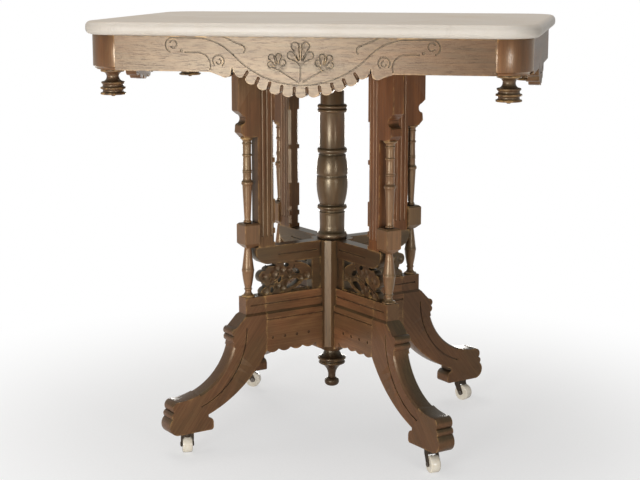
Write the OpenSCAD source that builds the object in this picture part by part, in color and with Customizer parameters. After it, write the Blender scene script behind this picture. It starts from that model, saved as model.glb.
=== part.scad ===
// Parlor table, about 1880: a marble top on a scalloped walnut apron, a turned
// centre column on a cross of four pierced wings, and four sabre legs on casters.
// Millimetres. +Z is up, the origin is on the floor under the column, the long
// side lies along X and the front faces -Y.

/* [Marble top] */
// Height of the table, floor to the top of the marble
table_height = 752; // [700:1:800]
// Length of the marble
top_length = 762; // [680:1:860]
// Width of the marble, front to back
top_width = 546; // [500:1:640]
// Thickness of the marble
top_thickness = 22; // [18:0.5:28]
// Overhang of the marble past the apron
top_overhang = 11.5; // [6:0.5:20]
// Radius of the rounded edge of the marble
nose_radius = 9.5; // [3:0.5:10]

/* [Apron] */
// Height of the apron boards at their ends
apron_height = 58; // [50:1:70]
// Thickness of the apron boards
apron_thickness = 20; // [16:0.5:24]
// Radius of the quarter-round corner blocks
corner_radius = 55; // [48:1:62]
// How far the front drop hangs below the board's edge
front_drop = 40; // [32:1:48]
// Radius of the curve that the front scallops follow
front_arc = 185; // [160:1:220]
// Number of scallops on the front and back boards
front_scallops = 11; // [7:2:11]
// How far the end drops hang below the board's edge
end_drop = 34; // [28:1:42]
// Radius of the curve that the end scallops follow
end_arc = 110; // [96:1:130]
// Number of scallops on the end boards
end_scallops = 7; // [5:2:7]
// Radius of one scallop
scallop_radius = 10.9; // [9:0.1:12]
// Distance between neighbouring scallops
scallop_pitch = 21.3; // [18:0.1:22]
// Distance of the scroll lobes from the middle of the front board
lobe_reach = 126; // [125.5:0.5:130]
// Radius of the scroll lobes
lobe_radius = 11; // [9:0.5:12]
// Width of the soft cut between two scallops
bead_cut = 5.4; // [4.4:0.2:8]
// Depth of the soft cut between two scallops
bead_sink = 1.6; // [1:0.1:2.2]

/* [Carving] */
// Width of an incised line
line_width = 2.8; // [2:0.1:3.4]
// Depth of an incised line
line_depth = 1.5; // [0.8:0.1:2.5]
// Height of the lowest incised arc above the tips of the scallops
arc_rise = 21; // [20:0.5:24]
// Radius of the lowest incised arc
arc_radius = 156; // [152:1:160]

/* [Corner drops] */
// Distance of each drop's axis behind the apron faces
drop_inset = 37.5; // [34:0.5:42]
// Radius of the collar under the corner block
collar_radius = 20.5; // [19:0.5:24]
// Thickness of the collar
collar_height = 4.5; // [3.5:0.5:8]
// Radius of the neck
drop_neck_radius = 10.5; // [9:0.5:12]
// Length of the neck
drop_neck_length = 16.5; // [15:0.5:20]
// Radius of the three flanges
flange_radius = 21.5; // [20:0.5:24]
// Distance between neighbouring flanges
flange_pitch = 9.2; // [8:0.2:11]
// Diameter of the dowels that hold the turnings
dowel_d = 8; // [6:0.5:9]
// Length of the dowels
dowel_length = 22; // [14:1:24]
// Radial clearance of a dowel in its hole
dowel_gap = 0.05; // [0.03:0.01:0.1]

/* [Bearers] */
// Width of the bearers inside the apron
bearer_width = 60; // [50:1:72]
// Thickness of the bearers
bearer_thickness = 22; // [18:0.5:28]
// Gap between the bearers and the marble
bearer_gap = 1; // [0.5:0.1:3]

/* [Column and post] */
// Height of the top of the wings, where the column stands
wing_top = 355; // [340:1:370]
// Radius of the column's shaft below the bearer
shaft_radius = 21.3; // [18:0.1:23]
// Radius of the column's plain drum
drum_radius = 22.9; // [20:0.1:24]
// Radius of the column's barrel
barrel_radius = 28; // [25:0.1:30]
// Radius of the column's base ring
base_radius = 27.5; // [25:0.1:30]
// Width of the centre post across the flats that carry the wings
post_width = 62; // [56:1:68]
// Width of the flat on the post's four free corners
post_flat = 12; // [8:0.1:16]
// Height of the lower end of the post
post_bottom = 146; // [140:1:152]
// Length of the finial below the post
finial_length = 70; // [64:1:78]
// Radius of the finial's rings
finial_radius = 26; // [22:0.5:28]

/* [Wings] */
// Thickness of the uprights and the upper rail
wing_thickness = 22; // [19:0.5:26]
// Thickness of the stile beside the post
stile_thickness = 18; // [15:0.5:19]
// Thickness of the carved leaves
leaf_thickness = 14; // [12:0.5:16]
// Height of the upper rail
upper_rail_height = 32; // [29:1:35]
// Reach of the upper rail from the table's axis
upper_rail_reach = 168; // [166:0.5:174]
// Radius of the rounded end of the upper rail
rail_end_radius = 27; // [20:1:27]
// Width of the stile
stile_width = 18; // [16:1:20]
// Reach of the leaf lobes from the table's axis
leaf_reach = 159.5; // [157:0.5:161]
// Distance of the upright's inner edge from the table's axis
upright_inner = 128; // [122:1:132]
// Width of the upright
upright_width = 34; // [30:1:36]
// Reach of the upright's head
head_reach = 201; // [198:1:208]
// Height of the underside of the head above the wings
head_rise = 195; // [180:1:210]
// Distance of the spindle's axis from the table's axis
spindle_reach = 178; // [177:0.5:180]
// Radius of the spindle's slender part
spindle_radius = 7.6; // [6.5:0.1:8.5]
// Radius of the vase on the lower spindle
vase_radius = 11; // [10:0.1:12.5]
// Height of the spindle's square block
block_height = 44; // [38:1:50]
// Reach of the square block past the spindle's axis
block_reach = 13.5; // [12:0.5:15]
// Chamfer at the lower end of the square block
block_chamfer = 8; // [6:0.5:9]
// Depth of the square block, along the table's circumference
block_depth = 30; // [26:0.5:34]

/* [Lower rails and legs] */
// Height of the top of the lower rails
lower_rail_top = 267; // [258:1:274]
// Height of the lower rails, without their scallops
lower_rail_height = 99; // [92:1:104]
// Reach of the lower rails, where the legs are joined on
lower_rail_reach = 150; // [146:1:154]
// Thickness of the lower rails and the legs
leg_thickness = 33; // [30:0.5:36]
// Thickness of the square shoulder and of the recessed band that runs on along the rails
shoulder_thickness = 25; // [24:0.5:27]
// Number of scallops under each lower rail
rail_scallops = 4; // [3:1:5]
// Depth of the rail scallops
rail_scallop_depth = 5.4; // [4:0.2:7]
// Reach of the leg's square shoulder
shoulder_reach = 190; // [189:0.5:194]
// Height of the leg's square shoulder and of the recessed band
shoulder_height = 29; // [24:1:34]
// Radius of the hollow curve on top of the leg
leg_top_radius = 113; // [108:1:118]
// Distance of the hollow curve's centre from the table's axis
leg_top_centre = 326; // [322:1:330]
// Radius of the curve under the leg
leg_back_radius = 231; // [226:1:236]
// Distance of the back curve's centre from the table's axis
leg_back_centre = 348; // [345:1:351]
// Height of the sole above the floor
sole_height = 41; // [38:0.5:46]
// Height of the toe above the sole
toe_height = 60; // [54:1:64]
// Reach of the toe
toe_reach = 346; // [342:0.5:350]
// Radius of the toe's large roll
toe_radius = 17.5; // [15:0.5:19]
// Distance of the heel from the table's axis
heel_reach = 260; // [256:1:264]
// Radius of the heel
heel_radius = 10; // [8:0.5:12]
// Width of the stopped chamfer along the leg's upper edges
leg_chamfer = 3.4; // [2:0.2:5]

/* [Casters] */
// Distance of the caster stems from the table's axis
stem_reach = 304; // [296:1:312]
// Diameter of the wheels
wheel_d = 30; // [26:0.5:32]
// Width of the wheels
wheel_width = 17; // [13:0.5:19]
// Diameter of the axles
axle_d = 4.5; // [3.5:0.1:6]
// Radial clearance of a wheel on its axle and of a stem in its socket
running_gap = 0.05; // [0.03:0.01:0.09]
// Clearance beside the wheel and between horn and socket
side_gap = 0.3; // [0.2:0.05:0.6]
// How far the wheel trails behind the stem
trail = 9; // [6:0.5:11]
// Thickness of the horn's arms
horn_thickness = 2.2; // [1.6:0.1:3]
// Diameter of the stem
stem_d = 7; // [5:0.1:8]
// Length of the stem above the horn
stem_length = 36; // [28:1:42]
// Wall of the socket round the stem
socket_wall = 1.8; // [1.2:0.1:2.4]
// Diameter of the socket's flange under the sole
flange_d = 21; // [17:0.5:22]
// Thickness of the socket's flange
flange_thickness = 2; // [1.5:0.1:3]

/* [Hidden] */
$fn = 96;

// The four corners, in the order front left, front right, back left, back right
FL = 0;
FR = 1;
BL = 2;
BR = 3;
corner_side = [[-1, -1], [1, -1], [-1, 1], [1, 1]];
corner_turn = [180, 270, 90, 0];
wing_turn = [225, 315, 135, 45];
// How far each caster stands turned round its stem
caster_turn = [-113, -15, -130, -75];

// Colours as the photograph shows them
marble_colour = [0.90, 0.87, 0.80];
walnut_colour = [0.42, 0.28, 0.19];
walnut_light_colour = [0.52, 0.40, 0.30];
walnut_dark_colour = [0.30, 0.20, 0.14];
iron_colour = [0.20, 0.18, 0.16];
brass_colour = [0.45, 0.38, 0.25];
porcelain_colour = [0.93, 0.90, 0.85];

// Levels and places that follow from the sizes above
apron_top = table_height - top_thickness;
apron_bottom = apron_top - apron_height;
bearer_top = apron_top - bearer_gap;
bearer_bottom = bearer_top - bearer_thickness;
face_x = top_length / 2 - top_overhang;
face_y = top_width / 2 - top_overhang;
corner_x = face_x - corner_radius;
corner_y = face_y - corner_radius;
drop_x = face_x - drop_inset;
drop_y = face_y - drop_inset;
marble_corner = corner_radius + top_overhang;
marble_nose = min(nose_radius, top_thickness / 2 - 0.5);
upright_outer = upright_inner + upright_width;
head_bottom = wing_top + head_rise;
bearer_x = (upright_inner + head_reach) / 2 / sqrt(2);
post_corner = (post_width - post_flat / sqrt(2)) / sqrt(2);
upper_rail_bottom = wing_top - upper_rail_height;
lower_rail_bottom = lower_rail_top - lower_rail_height;
lobe_width = 18;
band_bottom = lower_rail_top - shoulder_height;
band_line = lower_rail_top - shoulder_height / 2;
block_top = wing_top + block_height;
block_inner = spindle_reach - upright_outer;
toe_top = sole_height + toe_height;
leg_top_level = toe_top + leg_top_radius;
leg_back_level = lower_rail_bottom + sqrt(pow(leg_back_radius, 2) - pow(leg_back_centre - lower_rail_reach, 2));
horn_top = sole_height - flange_thickness - side_gap;
wheel_r = wheel_d / 2;
arm_inside = wheel_width / 2 + side_gap;
arm_outside = arm_inside + horn_thickness;
bridge_bottom = wheel_d + 1.4;
bridge_top = horn_top - 0.8;
bridge_back = 5;
bridge_length = 12;
socket_d = stem_d + 2 * running_gap + 2 * socket_wall;

// Placing
module at_corner(k, x, y) {
    translate([corner_side[k][0] * x, corner_side[k][1] * y, 0]) rotate([0, 0, corner_turn[k]]) children();
}
module at_wing(k) {
    rotate([0, 0, wing_turn[k]]) children();
}
// Stands an outline drawn as [distance from the axis, height] up as a board
module wing_board(thickness) {
    rotate([90, 0, 0]) linear_extrude(height = thickness, center = true) children();
}
// Cutters drawn on a board's face, repeated on both of its faces
module both_faces(thickness) {
    for (side = [0, 1]) mirror([0, side, 0]) translate([0, -thickness / 2, 0]) rotate([90, 0, 0]) children();
}

// Turned sections, drawn in the plane of radius and height
module fillet(z0, z1, r) {
    translate([0, z0]) square([r, z1 - z0]);
}
module taper(z0, z1, r0, r1) {
    polygon([[0, z0], [r0, z0], [r1, z1], [0, z1]]);
}
function bow(chord, rise) = (chord * chord / 4 + rise * rise) / (2 * rise);
// A point at a distance d outside the middle of the slope from r0 at z0 to r1 at z1
function beside(z0, z1, r0, r1, d) =
    [(r0 + r1) / 2 + d * (z1 - z0) / norm([r1 - r0, z1 - z0]),
     (z0 + z1) / 2 + d * (r0 - r1) / norm([r1 - r0, z1 - z0])];
module scoop(z0, z1, r0, r1, sag) {
    rho = bow(norm([r1 - r0, z1 - z0]), sag);
    difference() {
        taper(z0, z1, r0, r1);
        translate(beside(z0, z1, r0, r1, rho - sag)) circle(rho);
    }
}
module swell(z0, z1, r0, r1, rise) {
    rho = bow(norm([r1 - r0, z1 - z0]), rise);
    taper(z0, z1, r0, r1);
    intersection() {
        translate(beside(z0, z1, r0, r1, rise - rho)) circle(rho);
        translate([0, z0]) square([max(r0, r1) + rise, z1 - z0]);
    }
}
module bead(z0, z1, r_edge, r_mid) {
    swell(z0, z1, r_edge, r_edge, r_mid - r_edge);
}
module cove(z0, z1, r_edge, r_mid) {
    scoop(z0, z1, r_edge, r_edge, r_edge - r_mid);
}
module dowel_hole(z0, length) {
    translate([0, 0, z0]) cylinder(d = dowel_d + 2 * dowel_gap, h = length);
}

// Incised work: flat outlines that incised() sinks into a face at height 0
module incised() {
    translate([0, 0, -line_depth]) linear_extrude(height = line_depth + 1) children();
}
module line_arc(x, y, r, from, to) {
    steps = ceil((to - from) / 60);
    translate([x, y]) intersection() {
        difference() {
            circle(r + line_width / 2);
            circle(r - line_width / 2);
        }
        polygon(concat([[0, 0]], [
            for (i = [0 : steps]) let (a = from + (to - from) * i / steps) 2.5 * r * [cos(a), sin(a)]
        ]));
    }
}
module line_straight(x0, y0, x1, y1) {
    run = norm([x1 - x0, y1 - y0]);
    translate([x0, y0]) rotate(atan2(y1 - y0, x1 - x0)) translate([0, -line_width / 2]) square([run, line_width]);
}
module leaf_shape(x, y, length, width, turn) {
    rho = bow(length, width / 2);
    translate([x, y]) rotate(turn) intersection() {
        translate([0, rho - width / 2]) circle(rho);
        translate([0, width / 2 - rho]) circle(rho);
    }
}
module dot(x, y, r) {
    translate([x, y]) circle(r);
}

// Marble top: a slab with rounded corners and a nosed edge
module nose_profile(reach) {
    square([reach - marble_nose, top_thickness]);
    translate([0, marble_nose]) square([reach, top_thickness - 2 * marble_nose]);
    translate([reach - marble_nose, marble_nose]) circle(marble_nose);
    translate([reach - marble_nose, top_thickness - marble_nose]) circle(marble_nose);
}
module nosed_bar(length) {
    translate([-length / 2, 0, 0]) rotate([90, 0, 90]) linear_extrude(height = length)
        intersection() {
            nose_profile(marble_corner);
            square([marble_corner, top_thickness]);
        }
}
module marble_top() {
    run_x = top_length - 2 * marble_corner;
    run_y = top_width - 2 * marble_corner;
    color(marble_colour) translate([0, 0, apron_top]) union() {
        translate([-run_x / 2, -run_y / 2, 0]) cube([run_x, run_y, top_thickness]);
        for (side = [0, 180]) rotate([0, 0, side]) {
            translate([0, run_y / 2, 0]) nosed_bar(run_x);
            rotate([0, 0, 90]) translate([0, run_x / 2, 0]) nosed_bar(run_y);
        }
        for (k = [FL, FR, BL, BR]) at_corner(k, run_x / 2, run_y / 2)
            rotate_extrude(angle = 90) intersection() {
                nose_profile(marble_corner);
                square([marble_corner, top_thickness]);
            }
    }
}

// Apron boards: local X along the board, local Y up from its lower edge, face at height 0
module scalloped_edge(drop, arc, count) {
    inner = arc - scallop_radius;
    step = 2 * asin(scallop_pitch / 2 / inner);
    last = step * (count - 1) / 2;
    translate([0, arc - drop]) for (i = [0 : count - 1])
        rotate(i * step - last) translate([0, -inner]) circle(scallop_radius);
    intersection() {
        translate([0, arc - drop]) circle(inner);
        translate([-inner * sin(last), -drop]) square([2 * inner * sin(last), drop + apron_height / 2]);
    }
}
// Radial cutters that round each scallop into a bead, up to the incised arc
module bead_cuts(drop, arc, count) {
    cut_r = (bead_cut * bead_cut / 4 + bead_sink * bead_sink) / (2 * bead_sink);
    step = 2 * asin(scallop_pitch / 2 / (arc - scallop_radius));
    cut_end = arc - arc_rise + bead_cut / 2 + line_width;
    for (i = [1 : count - 1])
        translate([0, arc - drop, cut_r - bead_sink]) rotate([0, 0, (i - count / 2) * step]) {
            translate([0, -cut_end, 0]) rotate([90, 0, 0]) cylinder(r = cut_r, h = arc + 2 - cut_end);
            translate([0, -cut_end, 0]) sphere(cut_r);
        }
}
module scroll_lobes() {
    tail = 26;
    for (side = [0, 1]) mirror([side, 0]) translate([lobe_reach, 2]) {
        circle(lobe_radius);
        polygon([[0, 0], [0, 0.1 - lobe_radius], [tail, -2], [tail, 0]]);
    }
}
// The deep notch between the last scallop and the lobe
module lobe_notch() {
    peak = lobe_reach - lobe_radius - 0.8;
    for (side = [0, 1]) mirror([side, 0]) polygon([[peak - 2.6, -4], [peak, 9.5], [peak + 3, -4]]);
}
module board(length) {
    translate([0, 0, -apron_thickness]) linear_extrude(height = apron_thickness) {
        translate([-length / 2, 0]) square([length, apron_height]);
        children();
    }
}
// The long incised scroll to one side of the flower; the low arc turns over at an angle
module side_scroll(turn) {
    sweep_radius = 87;
    level = arc_rise - front_drop + arc_radius;
    start = [arc_radius * sin(turn), level - arc_radius * cos(turn)];
    sweep = [start[0] + sweep_radius * sin(turn), start[1] - sweep_radius * cos(turn)];
    crest = sweep[1] + sweep_radius;
    scroll_end = 214;
    hook = 12;
    line_arc(sweep[0], sweep[1], sweep_radius, 90, 90 + turn);
    line_straight(sweep[0], crest, scroll_end, crest);
    line_arc(scroll_end, crest - hook, hook, -70, 90);
    line_arc(scroll_end - 1, crest - hook + 1.5, hook / 2, 20, 320);
    dot(scroll_end - 14.5, crest - 21, 2.6);
    // The lower line, which turns down round the volute over the lobe
    lower = [171, 10.5];
    lower_radius = 21;
    line_straight(lower[0], lower[1] + lower_radius, scroll_end - 20, lower[1] + lower_radius);
    line_arc(lower[0], lower[1], lower_radius, 90, 200);
    volute = [lobe_reach + 10.5, 18];
    line_arc(volute[0], volute[1], 9.5, -45, 235);
    line_arc(volute[0] - 0.5, volute[1] - 1, 4, 90, 360);
    // The short upper line with its hook
    line_straight(135, 60.5, 99, 44.6);
    line_arc(99, 37.5, 7.1, 93, 235);
}
// A petal that starts at a distance from its foot and runs to the centre of its round end
module petal(foot, end, r, lead) {
    run = norm(end - foot);
    translate(foot) rotate(atan2(end[1] - foot[1], end[0] - foot[0])) {
        translate([run, 0]) circle(r);
        polygon([[lead, 0], [run, -0.9 * r], [run, 0.9 * r]]);
    }
}
// The tulip's four petals, drawn larger for their outline by the given margin
module petals(margin, lead) {
    foot = [0, 16 - margin];
    for (side = [0, 1]) mirror([side, 0]) {
        petal(foot, [8.6, 43.5], 5.2 + margin, lead);
        petal(foot, [15.5, 28.5], 5 + margin, lead);
    }
}
module bud(margin, lead) {
    for (end = [[9.5, 10], [-2.5, 11.5], [11, -1.5], [-9.5, 2]])
        petal([-1, -7 - margin], end, 3.6 + margin, lead);
}
module flower() {
    foot = arc_rise - front_drop;
    bud_x = 38.5;
    bud_y = 15;
    outline = 2.4;
    lead = 5.5;
    line_straight(0, foot + 2, 0, 15);
    dot(0, foot + 2, 3.6);
    difference() {
        union() {
            petals(outline, 0);
            dot(0, 16, 4.4);
        }
        petals(0, lead);
    }
    for (side = [0, 1]) mirror([side, 0]) {
        line_straight(2, foot + 4, bud_x - 4, bud_y - 11);
        translate([bud_x, bud_y]) difference() {
            union() {
                bud(outline, 0);
                dot(-1, -6, 4.6);
            }
            bud(0, lead);
        }
    }
}
module carved_front() {
    turn = 46;
    line_arc(0, arc_rise - front_drop + arc_radius, arc_radius, -90 - turn, -90 + turn);
    for (side = [0, 1]) mirror([side, 0]) side_scroll(turn);
    flower();
}
module long_board() {
    color(walnut_light_colour) difference() {
        board(2 * corner_x) {
            scalloped_edge(front_drop, front_arc, front_scallops);
            scroll_lobes();
        }
        translate([0, 0, -apron_thickness - 1]) linear_extrude(height = apron_thickness + 2) lobe_notch();
        bead_cuts(front_drop, front_arc, front_scallops);
        incised() carved_front();
    }
}
module end_board() {
    turn = 40;
    color(walnut_colour) difference() {
        board(2 * corner_y) scalloped_edge(end_drop, end_arc, end_scallops);
        bead_cuts(end_drop, end_arc, end_scallops);
        incised() line_arc(0, end_arc - end_drop, end_arc - arc_rise, -90 - turn, -90 + turn);
    }
}
module apron_front() {
    translate([0, -face_y, apron_bottom]) rotate([90, 0, 0]) long_board();
}
module apron_back() {
    rotate([0, 0, 180]) translate([0, -face_y, apron_bottom]) rotate([90, 0, 0]) long_board();
}
module apron_left() {
    translate([-face_x, 0, apron_bottom]) rotate([90, 0, -90]) end_board();
}
module apron_right() {
    translate([face_x, 0, apron_bottom]) rotate([90, 0, 90]) end_board();
}

// Corner blocks with a hollow lower edge, and the turned drops under them
module corner_block(k) {
    hollow = 6.5;
    color(walnut_colour) difference() {
        at_corner(k, corner_x, corner_y) translate([0, 0, apron_bottom])
            rotate_extrude(angle = 90) difference() {
                square([corner_radius, apron_height]);
                translate([corner_radius + 0.4, -1]) circle(hollow);
            }
        at_corner(k, drop_x, drop_y) dowel_hole(apron_bottom - 1, dowel_length + 2);
    }
}
module corner_drop(k) {
    neck_top = -collar_height;
    neck_bottom = neck_top - drop_neck_length;
    flange = 3.4;
    lip = 1.7;
    underside = neck_bottom - 2 * flange_pitch - flange;
    button = 3;
    color(walnut_dark_colour) at_corner(k, drop_x, drop_y) translate([0, 0, apron_bottom]) union() {
        rotate_extrude() {
            bead(neck_top, 0, collar_radius - 1, collar_radius);
            cove(neck_bottom, neck_top, drop_neck_radius + 7, drop_neck_radius);
            for (i = [0 : 2]) {
                z = neck_bottom - i * flange_pitch;
                reach = flange_radius - (i == 0 ? lip : 0);
                bead(z - flange, z, reach - 1.1, reach);
                if (i < 2) cove(z - flange_pitch, z - flange, flange_radius - lip - 1, flange_radius - lip - 2.4);
            }
            taper(underside - button, underside, 2.8, 5);
        }
        cylinder(d = dowel_d, h = dowel_length);
    }
}

// Bearers inside the apron, which carry the column and the uprights
module bearer_across(side) {
    run = 2 * (face_y - apron_thickness);
    screw_d = 5;
    color(walnut_dark_colour) difference() {
        translate([side * bearer_x - bearer_width / 2, -run / 2, bearer_bottom])
            cube([bearer_width, run, bearer_thickness]);
        for (end = [-1, 1]) translate([side * bearer_x, end * (run / 2 - bearer_width / 2), bearer_bottom - 1])
            cylinder(d = screw_d, h = bearer_thickness + 2);
    }
}
module bearer_centre() {
    run = 2 * bearer_x - bearer_width;
    color(walnut_dark_colour) translate([-run / 2, -bearer_width / 2, bearer_bottom])
        cube([run, bearer_width, bearer_thickness]);
}

// The turned column between the wings and the centre bearer
module column() {
    base_height = 11;
    lower_ring = wing_top + 54;
    barrel_bottom = lower_ring + 9;
    waist = wing_top + 117;
    barrel_top = wing_top + 153;
    upper_ring = barrel_top + 3;
    ring_height = 9;
    drum_top = wing_top + 229;
    collar = 7;
    groove = 3.4;
    ring_radius = barrel_radius - 0.8;
    color(walnut_colour) union() {
        rotate_extrude() {
            bead(wing_top, wing_top + base_height, base_radius - 1.6, base_radius);
            scoop(wing_top + base_height, wing_top + base_height + 7, base_radius - 2, drum_radius - 0.4, 0.8);
            taper(wing_top + base_height + 7, lower_ring - 6, drum_radius - 0.5, drum_radius);
            cove(lower_ring - 6, lower_ring, drum_radius + 1, drum_radius - 0.6);
            bead(lower_ring, lower_ring + 6.5, ring_radius - 1.8, ring_radius);
            scoop(lower_ring + 6.5, barrel_bottom, ring_radius - 3, drum_radius - 0.7, 0.6);
            swell(barrel_bottom, waist - groove, drum_radius - 0.5, barrel_radius - 0.2, 2.6);
            fillet(waist - groove, waist, barrel_radius - 1.6);
            swell(waist, barrel_top, barrel_radius, drum_radius + 1.4, 1.7);
            fillet(barrel_top, upper_ring, drum_radius);
            bead(upper_ring, upper_ring + ring_height, ring_radius - 2.4, ring_radius);
            fillet(upper_ring + ring_height, drum_top, drum_radius);
            for (i = [0, 1])
                bead(drum_top + i * collar, drum_top + (i + 1) * collar, shaft_radius + 3.2, shaft_radius + 5.5);
            fillet(drum_top + 2 * collar, bearer_bottom, shaft_radius);
        }
        translate([0, 0, wing_top - dowel_length]) cylinder(d = 2 * dowel_d, h = dowel_length + 1);
    }
}
// The post that the wings and lower rails meet, with its free corners cut flat
module centre_post() {
    end_bevel = 18;
    end_radius = 19;
    clear = post_width * 0.75;
    color(walnut_colour) difference() {
        intersection() {
            translate([0, 0, post_bottom]) linear_extrude(height = wing_top - post_bottom) intersection() {
                rotate(45) square(post_width, center = true);
                square(2 * post_corner, center = true);
            }
            rotate_extrude() {
                taper(post_bottom, post_bottom + end_bevel, end_radius, clear);
                fillet(post_bottom + end_bevel, wing_top, clear);
            }
        }
        translate([0, 0, wing_top - dowel_length - 1]) cylinder(d = 2 * dowel_d + 2 * dowel_gap, h = dowel_length + 2);
        dowel_hole(post_bottom - 1, dowel_length + 2);
    }
}
module finial() {
    bulb_length = 16;
    neck_length = 3;
    flare = 14;
    ring_height = 13;
    lip = 5;
    neck_radius = 7;
    rim = finial_radius - 1.5;
    bulb_top = post_bottom - finial_length + bulb_length;
    neck = bulb_top + neck_length;
    ring_top = post_bottom - flare;
    cup_top = ring_top - ring_height;
    color(walnut_dark_colour) union() {
        rotate_extrude() {
            scoop(ring_top, post_bottom, rim, 2 * neck_radius, 3);
            bead(ring_top - lip, ring_top, rim, finial_radius);
            cove(cup_top + lip, ring_top - lip, rim, rim - 2);
            bead(cup_top, cup_top + lip, rim - 1.5, rim);
            scoop(neck, cup_top, neck_radius, rim - 1.5, 5);
            fillet(bulb_top, neck, neck_radius);
            bead(bulb_top - bulb_length, bulb_top, neck_radius - 1, 2 * neck_radius - 0.5);
        }
        translate([0, 0, post_bottom - 1]) cylinder(d = dowel_d, h = dowel_length + 1);
    }
}

// Uprights: a fluted board with a bracket head that holds the spindle
module upright_outline() {
    translate([upright_inner, wing_top]) square([upright_width, bearer_bottom - wing_top]);
    difference() {
        translate([upright_outer - 1, head_bottom])
            square([head_reach - upright_outer + 1, bearer_bottom - head_bottom]);
        translate([head_reach, head_bottom]) head_bite();
    }
}
// What is cut from the lower outer corner of the head: a rounded nick over a hanging lip
module head_bite() {
    nick = 15;
    nick_r = 8.5;
    lip = 5;
    translate([nick_r - nick, 32]) circle(nick_r);
    polygon([[1, 47.8], [-nick, 35], [-lip - 1, 21], [-lip, 9], [-lip - 8.5, 1], [-lip - 8.5, -1], [1, -1]]);
}
module flute(x, z0, z1) {
    r = 2.4;
    sink = 1.1;
    translate([x, z0, r - sink]) rotate([-90, 0, 0]) cylinder(r = r, h = z1 - z0);
    translate([x, z0, r - sink]) sphere(r);
    translate([x, z1, r - sink]) sphere(r);
}
module upright(k) {
    flute_start = wing_top + 20;
    flute_end = bearer_bottom - 44;
    flute_pitch = 9.2;
    chamfer = 3;
    // Each stop chamfer along the inner edge: its start and its length above the wings
    stops = [[7, 16], [32, 9], [84, 65], [157, 66]];
    middle = upright_inner + upright_width / 2;
    color(walnut_colour) at_wing(k) difference() {
        wing_board(wing_thickness) upright_outline();
        both_faces(wing_thickness) for (i = [-1 : 1]) flute(middle + i * flute_pitch, flute_start, flute_end);
        for (stop = stops) for (side = [-1, 1])
            translate([upright_inner, side * wing_thickness / 2, wing_top + stop[0]])
                rotate([0, 0, 45]) translate([-chamfer, -chamfer, 0]) cube([2 * chamfer, 2 * chamfer, stop[1]]);
        translate([spindle_reach, 0, 0]) dowel_hole(head_bottom - 1, dowel_length + 2);
    }
}

// Spindles: a vase turning, a square block against the upright, and a ringed turning above it
module spindle_block() {
    top_chamfer = 3;
    side = block_depth / 2;
    intersection() {
        wing_board(block_depth) polygon([
            [-block_inner, wing_top], [block_reach - block_chamfer, wing_top],
            [block_reach, wing_top + block_chamfer], [block_reach, block_top - top_chamfer],
            [block_reach - top_chamfer, block_top], [-block_inner, block_top]
        ]);
        rotate([0, 0, 90]) wing_board(3 * block_depth) polygon([
            [-side, wing_top + block_chamfer], [block_chamfer - side, wing_top],
            [side - block_chamfer, wing_top], [side, wing_top + block_chamfer],
            [side, block_top - top_chamfer], [side - top_chamfer, block_top],
            [top_chamfer - side, block_top], [-side, block_top - top_chamfer]
        ]);
    }
}
module spindle(k) {
    slim = spindle_radius - 1.7;
    vase_middle = lower_rail_top + 0.54 * (wing_top - lower_rail_top);
    foot = 9;
    ring = [block_top + 73, block_top + 91, block_top + 120];
    cap = 9;
    color(walnut_colour) at_wing(k) translate([spindle_reach, 0, 0]) union() {
        spindle_block();
        rotate_extrude() {
            bead(lower_rail_top, lower_rail_top + 3, vase_radius, vase_radius + 1);
            scoop(lower_rail_top + 3, lower_rail_top + 3 + foot, vase_radius, slim, 2);
            bead(lower_rail_top + 3 + foot, lower_rail_top + 7 + foot, slim, slim + 1.2);
            swell(lower_rail_top + 7 + foot, vase_middle - 2, slim, vase_radius - 0.4, 0.6);
            fillet(vase_middle - 2, vase_middle + 2, vase_radius);
            taper(vase_middle + 2, wing_top, vase_radius - 0.4, slim);
            bead(block_top, block_top + 5, slim, slim + 1.4);
            taper(block_top + 5, ring[0] - 6, slim - 0.3, spindle_radius + 1);
            bead(ring[0] - 6, ring[0] + 2, spindle_radius + 1, spindle_radius + 2.8);
            scoop(ring[0] + 2, ring[0] + 8, spindle_radius + 0.8, spindle_radius - 0.2, 0.5);
            fillet(ring[0] + 8, ring[1] - 3, spindle_radius - 0.2);
            bead(ring[1] - 3, ring[1], spindle_radius, spindle_radius + 0.6);
            bead(ring[1], ring[1] + 3, spindle_radius, spindle_radius + 0.6);
            taper(ring[1] + 3, ring[2] - 2, spindle_radius - 0.2, spindle_radius - 0.6);
            bead(ring[2] - 2, ring[2] + 2, spindle_radius, spindle_radius + 0.8);
            taper(ring[2] + 2, head_bottom - cap - 3, spindle_radius - 0.6, spindle_radius - 0.2);
            bead(head_bottom - cap - 3, head_bottom - cap, spindle_radius, spindle_radius + 1);
            scoop(head_bottom - cap, head_bottom - 3, spindle_radius - 0.2, spindle_radius + 3, 1);
            bead(head_bottom - 3, head_bottom, spindle_radius + 3.2, spindle_radius + 4);
        }
        translate([0, 0, lower_rail_top - dowel_length]) cylinder(d = dowel_d, h = dowel_length + 1);
        translate([0, 0, head_bottom - 1]) cylinder(d = dowel_d, h = dowel_length + 1);
    }
}

// Pierced wings: an upper rail and a stile round carved leaves
module upper_rail_outline() {
    inner = post_width / 2;
    flat = upper_rail_reach - rail_end_radius;
    translate([inner, upper_rail_bottom]) square([flat - inner, upper_rail_height]);
    intersection() {
        translate([flat, upper_rail_bottom + rail_end_radius]) circle(rail_end_radius);
        translate([flat - 1, upper_rail_bottom]) square([rail_end_radius + 1, rail_end_radius]);
    }
    translate([flat - 1, upper_rail_bottom + rail_end_radius - 0.5])
        square([rail_end_radius + 1, upper_rail_height - rail_end_radius + 0.5]);
}
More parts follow.
